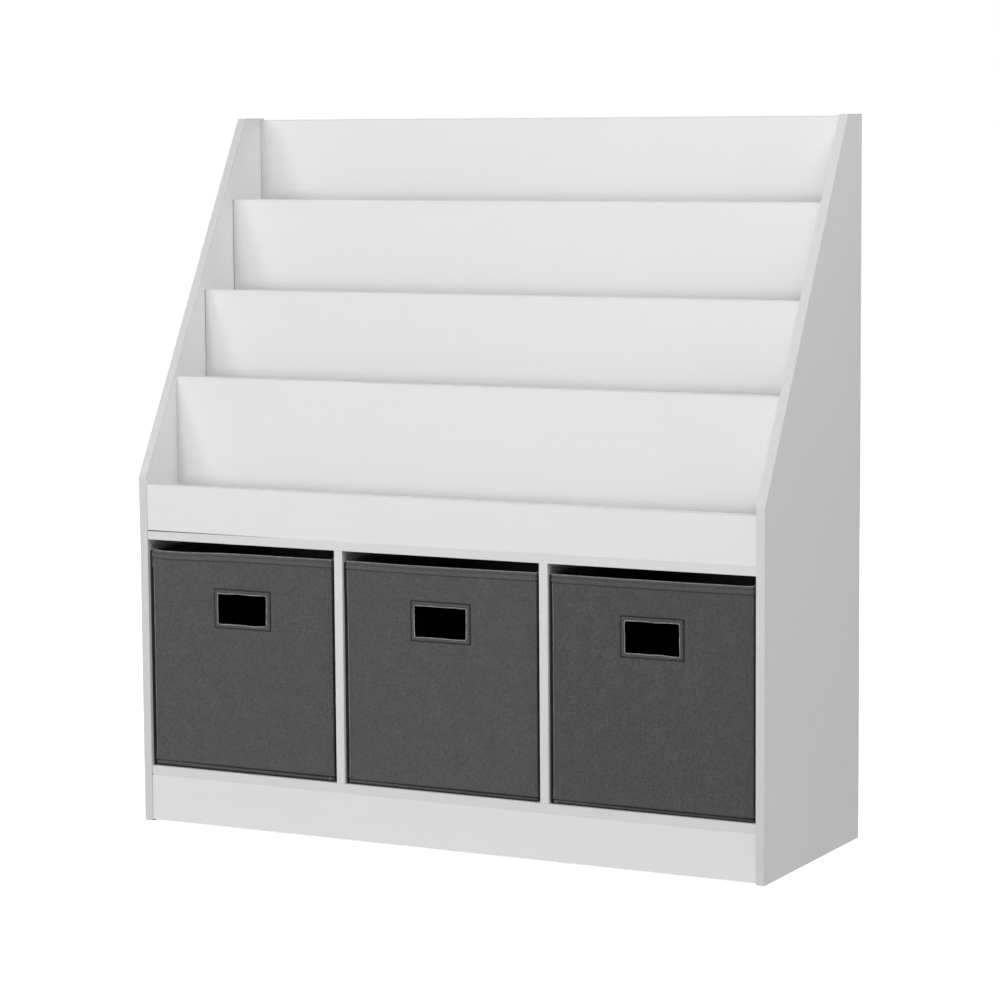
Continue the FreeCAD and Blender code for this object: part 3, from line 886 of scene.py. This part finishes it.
def make_piping(shape):
    """Light cord sewn along the handle slot's edge, a little uneven by hand."""
    path = []
    for p in rounded_rectangle(shape.slot_x, shape.slot_z, SLOT_CORNER, PIPING_STEP):
        sway = noise_at(p.x * PIPING_SWAYS, p.y * PIPING_SWAYS, shape.seed) * PIPING_SWAY
        path.append(Vector((p.x + sway, shape.low.y - PIPING_FRONT - PIPING_LIFT * sway, p.y - sway)))
    shape.cord("_handle_piping", path, [PIPING_RADIUS] * len(path), BACKWARD, "light_piping")


def make_frame_thread(shape):
    """Dark thread in the sunk seam round the handle's border; its near-black colour also paints the
    seam's shade.
    """
    loop = rounded_rectangle(shape.frame_x, shape.frame_z, FRAME_CORNER, SLOT_STEP)
    path = [Vector((p.x, shape.low.y + FRAME_THREAD_SINK, p.y)) for p in loop]
    radii = uneven_radii(path, FRAME_THREAD, uneven=0.5, scale=150)
    shape.cord("_handle_thread", path, radii, BACKWARD, "dark_thread")


def make_foot_threads(shape):
    """Dark thread in the front's foot seam, thicker towards the right, its dark colour painted shade in
    the seam; and a dark cord along the base below it, painted contact shadow.
    """
    low, high = shape.low, shape.high
    across = even_steps(low.x + CORNER_RADII[0], high.x - CORNER_RADII[1], WALL_STEP)
    seam, radii, base = [], [], []
    for x in across:
        seam.append(Vector((x, low.y + FOOT_THREAD_SINK, low.z + shape.foot + shape.tilt(x))))
        shade_share = FOOT_SHADE_LEAST + (1 - FOOT_SHADE_LEAST) * ramp(shape.share(x), *FOOT_SHADE_SPAN)
        uneven = 1 + FOOT_UNEVEN * noise_at(x * FOOT_KNOTS, shape.seed, 0)
        radii.append(FOOT_THREAD * shade_share * uneven)
        base.append(Vector((x, low.y + FOOT_SHADE_SINK, low.z + FOOT_SHADE)))
    shape.cord("_foot_thread_shade", seam, radii, UP, "dark_thread", closed=False)
    shape.cord("_foot_contact_shade", base, [FOOT_SHADE] * len(base), UP, "dark_thread", closed=False)


def make_tack(shape):
    """Light tack where the foot strip's seam was fastened off, on the boxes that have one."""
    if not shape.tack:
        return
    x = shape.low.x + shape.tack * (shape.high.x - shape.low.x)
    y = shape.low.y - TACK_FRONT
    path = [Vector((x, y, shape.low.z + shape.foot * rise)) for rise, _ in TACK_SHAPE]
    radii = [TACK * size for _, size in TACK_SHAPE]
    shape.cord("_foot_tack", path, radii, BACKWARD, "light_piping", closed=False)


def make_rim_cord(shape):
    """Light cord along the fold of the rim tape: a painted highlight on the fold."""
    path = []
    for spot, _ in rounded_outline(shape.low, shape.high, 2 * HEM_STEP):
        z = shape.rim_height(spot) - RIM_CORD_RADIUS
        path.append(Vector((spot.x - shape.flared(spot, z), spot.y, z)))
    radii = uneven_radii(path, RIM_CORD_RADIUS, uneven=0.4, scale=60)
    shape.cord("_rim_cord", path, radii, UP, "rim_thread")


def stitch_row(points, faces, start, end, normal):
    """Adds short thread dashes along a line, each a bead pressed into the cloth."""
    run = end - start
    count = max(1, int(run.length / STITCH_PITCH))
    ahead = run.normalized()
    side = ahead.cross(normal).normalized()
    loops = len(STITCH_BEAD)
    bead_faces = loop_faces(loops, STITCH_SIDES) + end_caps(loops, STITCH_SIDES)
    for i in range(count):
        middle = start + run * ((i + 0.5) / count)
        base = len(points)
        for along, size in STITCH_BEAD:
            centre = middle + ahead * (along * STITCH_LENGTH)
            for s in range(STITCH_SIDES):
                angle = 2 * math.pi * s / STITCH_SIDES
                ring = side * math.cos(angle) + normal * math.sin(angle)
                points.append(centre + ring * (STITCH_RADIUS * size))
        faces.extend(tuple(base + v for v in face) for face in bead_faces)


def make_stitches(shape, name, runs, material):
    """Piece of stitches along runs, each given by its start, end and outward direction."""
    points, faces = [], []
    for start, end, normal in runs:
        stitch_row(points, faces, start, end, normal)
    shape.piece(name, points, faces, material)


def make_side_stitches(shape):
    """Light cord along the front's left seam, lighter than the right one as a painted highlight, and a
    row of duller stitches along its right seam.
    """
    front = shape.low.y - SIDE_RIDGE
    foot = shape.low.z + shape.foot + SEAM_START
    heights = even_steps(foot, shape.high.z - HEM_HEIGHT - SEAM_END, SEAM_STEP)
    left = Vector((shape.low.x + LEFT_SEAM, front))
    cord = [Vector((left.x - shape.flared(left, z), front, z)) for z in heights]
    radii = uneven_radii(cord, SEAM_CORD, uneven=0.35, scale=70)
    shape.cord("_left_cord", cord, radii, BACKWARD, "light_thread", closed=False)
    right = [Vector((shape.high.x - RIGHT_SEAM, front, z)) for z in heights[::SEAM_RUN]]
    runs = [(start, end, FORWARD) for start, end in zip(right, right[1:])]
    make_stitches(shape, "_right_stitches", runs, "dull_thread")


def make_hand_stitches(shape):
    """Light hand stitches down the upper end of the left front corner, on the box that has them."""
    if not shape.mend:
        return
    corner = Vector((shape.low.x + MEND_INSET.x, shape.low.y + MEND_INSET.y))
    ends = []
    for drop in (MEND_DROP, MEND_DROP + shape.mend * MM):
        z = shape.rim_top - drop
        ends.append(Vector((corner.x - shape.flared(corner, z), corner.y, z)))
    make_stitches(shape, "_hand_stitches", [(*ends, MEND_FACING)], "light_piping")


def make_hem_stitches(shape):
    """Dull thread along the rim tape's sunk line, on all four walls."""
    outline = rounded_outline(shape.low, shape.high, HEM_STITCH_STEP)
    runs = []
    for (spot, away), (ahead, turned) in zip(outline, outline[1:] + outline[:1]):
        if away != turned or (ahead - spot).length < 2 * STITCH_PITCH:
            continue
        ends = []
        for place in (spot, ahead):
            pressed = place - away * HEM_STITCH_SINK
            z = shape.rim_height(place) - HEM_STITCH_DEPTH
            ends.append(Vector((pressed.x - shape.flared(place, z), pressed.y, z)))
        runs.append((*ends, Vector((away.x, away.y, 0))))
    make_stitches(shape, "_hem_stitches", runs, "dull_thread")


def gap_shade_section(tip, radius):
    """Cross-section of the left corner's strip of painted shade, rounded at its tip and running back
    into the cloth.
    """
    inward = Vector((1, 1)).normalized()
    side = Vector((-inward.y, inward.x))
    section = []
    for i in range(GAP_SHADE_STEPS + 1):
        angle = math.pi * i / GAP_SHADE_STEPS
        section.append(tip + (side * math.cos(angle) - inward * math.sin(angle)) * radius)
    root = tip + inward * GAP_SHADE_DEPTH
    return section + [root - side * radius, root + side * radius]


def upright_strip(shape, name, section, shift):
    """Dark strip of painted shade up a corner with one cross-section, moved across by a function of the
    height.
    """
    heights = even_steps(shape.low.z + GAP_SHADE_START, shape.rim_top - GAP_SHADE_END, GAP_SHADE_STEP)
    size = len(section)
    points = [(p.x - shift(z), p.y, z) for z in heights for p in section]
    faces = loop_faces(len(heights), size) + end_caps(len(heights), size)
    shape.piece(name, points, faces, "dark_binding")


def make_corner_gap_shades(shape):
    """Dark strips of painted shade down the front corners, for the shadow in the gaps beside the box: a
    rounded strip on the left and a folded one on the right.
    """
    corner = Vector((shape.low.x, shape.low.y))
    welt = gap_shade_section(corner + Vector((shape.welt_x, -GAP_SHADE_FRONT)), shape.gap_shade_radius)
    upright_strip(shape, "_left_gap_shade", welt, lambda z: shape.flared(corner, z))
    # The right strip paints the shade on the box's right wall, where it is seen through the gap
    tape = [Vector((shape.high.x + out * MM, shape.low.y + back * MM)) for back, out in CORNER_GAP_SHADE]
    upright_strip(shape, "_right_gap_shade", tape, lambda z: 0.0)


def plate_mesh(low, high, hole=None):
    """Upright board across the box with eased edges, and with a rectangular hole where one is given."""
    x_range, z_range = (low.x, high.x), (low.z, high.z)
    outer = rounded_rectangle(x_range, z_range, CARD_CORNER, CARD_STEP)
    front, back = low.y, high.y
    edges = ((-CARD_EASE, front), (0.0, front + CARD_EASE), (0.0, back - CARD_EASE), (-CARD_EASE, back))
    loops = []
    for grow, y in edges:
        edge = fitted_loop(outer, grown(x_range, grow), grown(z_range, grow))
        loops.append([(p.x, y, p.y) for p in edge])
    if hole:
        cut = fitted_loop(outer, *hole)
        loops += [[(p.x, y, p.y) for p in cut] for y in (back, front)]
    size = len(outer)
    points = [p for loop in loops for p in loop]
    faces = loop_faces(len(loops), size, around=bool(hole))
    if not hole:
        faces += end_caps(len(loops), size)
    return points, turned_over(faces)


def side_plate_mesh(low, high):
    """Upright board along the box."""
    points, faces = plate_mesh(Vector((low.y, low.x, low.z)), Vector((high.y, high.x, high.z)))
    return [(y, x, z) for x, y, z in points], turned_over(faces)


def make_board(shape, name, meshes):
    """One piece of stiff board from one or more meshes."""
    points, faces = [], []
    for more_points, more_faces in meshes:
        faces.extend(tuple(v + len(points) for v in face) for face in more_faces)
        points.extend(more_points)
    piece = shape.piece(name, points, faces, "greyboard", "greyboard")
    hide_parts(shape.body + name.replace("board", "stiffener"))


def make_boards(shape):
    """Stiff boards in the four walls."""
    low, high = shape.low, shape.high
    z0, z1 = low.z + CARD_FOOT_GAP, high.z - CARD_TOP_GAP
    x0, x1 = grown((low.x, high.x), -CARD_SIDE_GAP)
    y0, y1 = grown((low.y, high.y), -CARD_SIDE_GAP)
    hole = (grown(shape.frame_x, CARD_FRAME_GAP), grown(shape.frame_z, CARD_FRAME_GAP))
    front_y, rear_y = low.y + CARD_SKIN, high.y - CARD_SKIN - CARD_THICKNESS
    across = [
        plate_mesh(Vector((x0, y, z0)), Vector((x1, y + CARD_THICKNESS, z1)), cut)
        for y, cut in ((front_y, hole), (rear_y, None))
    ]
    sides = [
        side_plate_mesh(Vector((x, y0, z0)), Vector((x + CARD_THICKNESS, y1, z1)))
        for x in (low.x + CARD_SKIN, high.x - CARD_SKIN - CARD_THICKNESS)
    ]
    make_board(shape, "_front_board", across[:1])
    make_board(shape, "_rear_board", across[1:])
    make_board(shape, "_side_boards", sides)


def make_insert(shape):
    """Loose base: a board wrapped in lining fabric, with soft edges."""
    node = shape.body + "_base_insert"
    low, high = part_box(node)
    round_edge = (high.z - low.z) / 2
    outline = rounded_outline(low, high, WALL_STEP)
    points = []
    for turn in INSERT_TURNS:
        z = (low.z + high.z) / 2 + round_edge * math.sin(turn)
        for spot, away in outline:
            place = spot - away * round_edge * (1 - math.cos(turn))
            points.append((place.x, place.y, z))
    loops, count = len(INSERT_TURNS), len(outline)
    faces = loop_faces(loops, count) + end_caps(loops, count)
    body = shape.body + "_insert"
    piece = make_piece(node + "_cloth", points, faces, "lining_fabric", body)
    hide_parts(node)


def make_boxes():
    """All pieces of the three fabric boxes."""
    steps = (
        make_cover, make_boards, make_lining, make_rim, make_handle, make_piping, make_frame_thread,
        make_rim_cord, make_foot_threads, make_tack, make_hand_stitches, make_side_stitches,
        make_corner_gap_shades, make_hem_stitches, make_insert,
    )
    for body in SEWN:
        shape = BoxShape(body)
        for make in steps:
            make(shape)


# Joint lines of the rack: painted shade in the open joints
def make_joint(name, path, radii):
    """Dark cord along an open joint: painted shade for the shadow in the gap."""
    make_cord(name, path, radii, BACKWARD, "joint_dust", "rack", closed=False)


def make_level_joint(name, low, z, joint, step):
    """Dark line of painted shade from a board's left end that thins out to the right."""
    length, radius = joint
    across = even_steps(low.x, low.x + length, step)
    path = [Vector((x, low.y, z)) for x in across]
    make_joint(name, path, [radius * (JOINT_TAPER - (x - low.x) / length) for x in across])


def make_joint_lines():
    """Dark lines of painted shade at the left ends of the upper boards, under the lip and above the
    plinth.
    """
    for node, (top, foot) in END_JOINTS.items():
        low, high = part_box(node)
        heights = even_steps(low.z, high.z, JOINT_STEP)
        path = [Vector((low.x, low.y, z)) for z in heights]
        radii = [(foot + (top - foot) * ramp(z, low.z, high.z)) * MM for z in heights]
        make_joint(node + "_joint", path, radii)
    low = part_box("front_lip")[0]
    make_level_joint("front_lip_joint", low, low.z, LIP_JOINT, JOINT_STEP)
    low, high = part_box("plinth_board")
    make_level_joint("plinth_board_joint", low, high.z, PLINTH_JOINT, PLINTH_JOINT_STEP)


# Studio
def make_camera():
    """Camera at the photograph's viewing angle."""
    data = bpy.data.cameras.new("camera")
    data.sensor_width = CAMERA_SENSOR
    data.lens = CAMERA_LENS
    camera = bpy.data.objects.new("camera", data)
    turn = Matrix.Rotation(CAMERA_YAW, 4, "Z")
    tilt = Matrix.Rotation(math.pi / 2 + CAMERA_PITCH, 4, "X")
    roll = Matrix.Rotation(CAMERA_ROLL, 4, "Z")
    camera.matrix_world = Matrix.Translation(CAMERA_PLACE) @ turn @ tilt @ roll
    bpy.context.scene.collection.objects.link(camera)
    bpy.context.scene.camera = camera


def area_light(name, place, size, power):
    """Round soft lamp aimed at the middle of the rack."""
    data = bpy.data.lights.new(name, "AREA")
    data.shape = "DISK"
    data.size = size
    data.energy = power
    light = bpy.data.objects.new(name, data)
    aim = (LAMP_AIM - Vector(place)).to_track_quat("-Z", "Y")
    light.matrix_world = Matrix.Translation(place) @ aim.to_matrix().to_4x4()
    bpy.context.scene.collection.objects.link(light)


def mix_by_ray(tree, lighting, shown, output):
    """One shader for the light on the object, and another for what camera, mirror and glass rays see."""
    rays = add_node(tree, "LightPath", {}).outputs
    seen = math_node(tree, "MAXIMUM", rays["Is Camera Ray"], rays["Is Glossy Ray"])
    seen = math_node(tree, "MAXIMUM", seen, rays["Is Transmission Ray"])
    mix = add_node(tree, "MixShader", {"Fac": seen, 1: lighting, 2: shown})
    tree.links.new(mix.outputs["Shader"], tree.nodes[output].inputs["Surface"])


def make_world():
    """Faint even light on the object, and a white backdrop for the camera."""
    world = bpy.data.worlds.new("studio")
    bpy.context.scene.world = world
    world.use_nodes = True
    tree = world.node_tree
    background = tree.nodes["Background"]
    background.inputs["Color"].default_value = WHITE
    background.inputs["Strength"].default_value = WORLD_LIGHT
    backdrop = add_node(tree, "Background", {"Color": WHITE, "Strength": 1.0})
    mix_by_ray(tree, background.outputs["Background"], backdrop.outputs["Background"], "World Output")


def diffuse_shader(tree, grey):
    """Plain matt grey."""
    return add_node(tree, "BsdfDiffuse", {"Color": (grey, grey, grey, 1.0)}).outputs["BSDF"]


def floor_material():
    """Matt grey for the lamps; for the camera a pale glow that keeps the object's shadow."""
    material = bpy.data.materials.new("studio_floor")
    material.use_nodes = True
    tree = material.node_tree
    tree.nodes.remove(tree.nodes["Principled BSDF"])
    away = add_node(tree, "VectorMath", {0: place_texture(tree)}, "LENGTH")
    fade = add_node(tree, "MapRange", {
        "Value": away.outputs["Value"],
        "From Min": FLOOR_NEAR, "From Max": FLOOR_FAR, "To Min": FLOOR_GLOW,
    })
    glow = add_node(tree, "Emission", {"Strength": fade.outputs["Result"]})
    pale = diffuse_shader(tree, FLOOR_SHOWN_GREY)
    shown = add_node(tree, "AddShader", {0: pale, 1: glow.outputs["Emission"]})
    lit = diffuse_shader(tree, FLOOR_LIT_GREY)
    mix_by_ray(tree, lit, shown.outputs["Shader"], "Material Output")
    return material


def make_floor():
    """Wide plain floor."""
    size = FLOOR_SIZE
    corners = [(-size, -size, 0), (size, -size, 0), (size, size, 0), (-size, size, 0)]
    mesh = bpy.data.meshes.new("floor")
    mesh.from_pydata(corners, [], [(0, 1, 2, 3)])
    mesh.materials.append(floor_material())
    floor = bpy.data.objects.new("floor", mesh)
    bpy.context.scene.collection.objects.link(floor)


def make_studio():
    """Camera, floor, world and lamps."""
    bpy.context.scene.view_settings.view_transform = "Standard"
    make_camera()
    make_world()
    make_floor()
    for name, (place, size, power) in LAMPS.items():
        area_light(name, place, size, power)


dress_nodes()
make_boxes()
make_joint_lines()
make_studio()
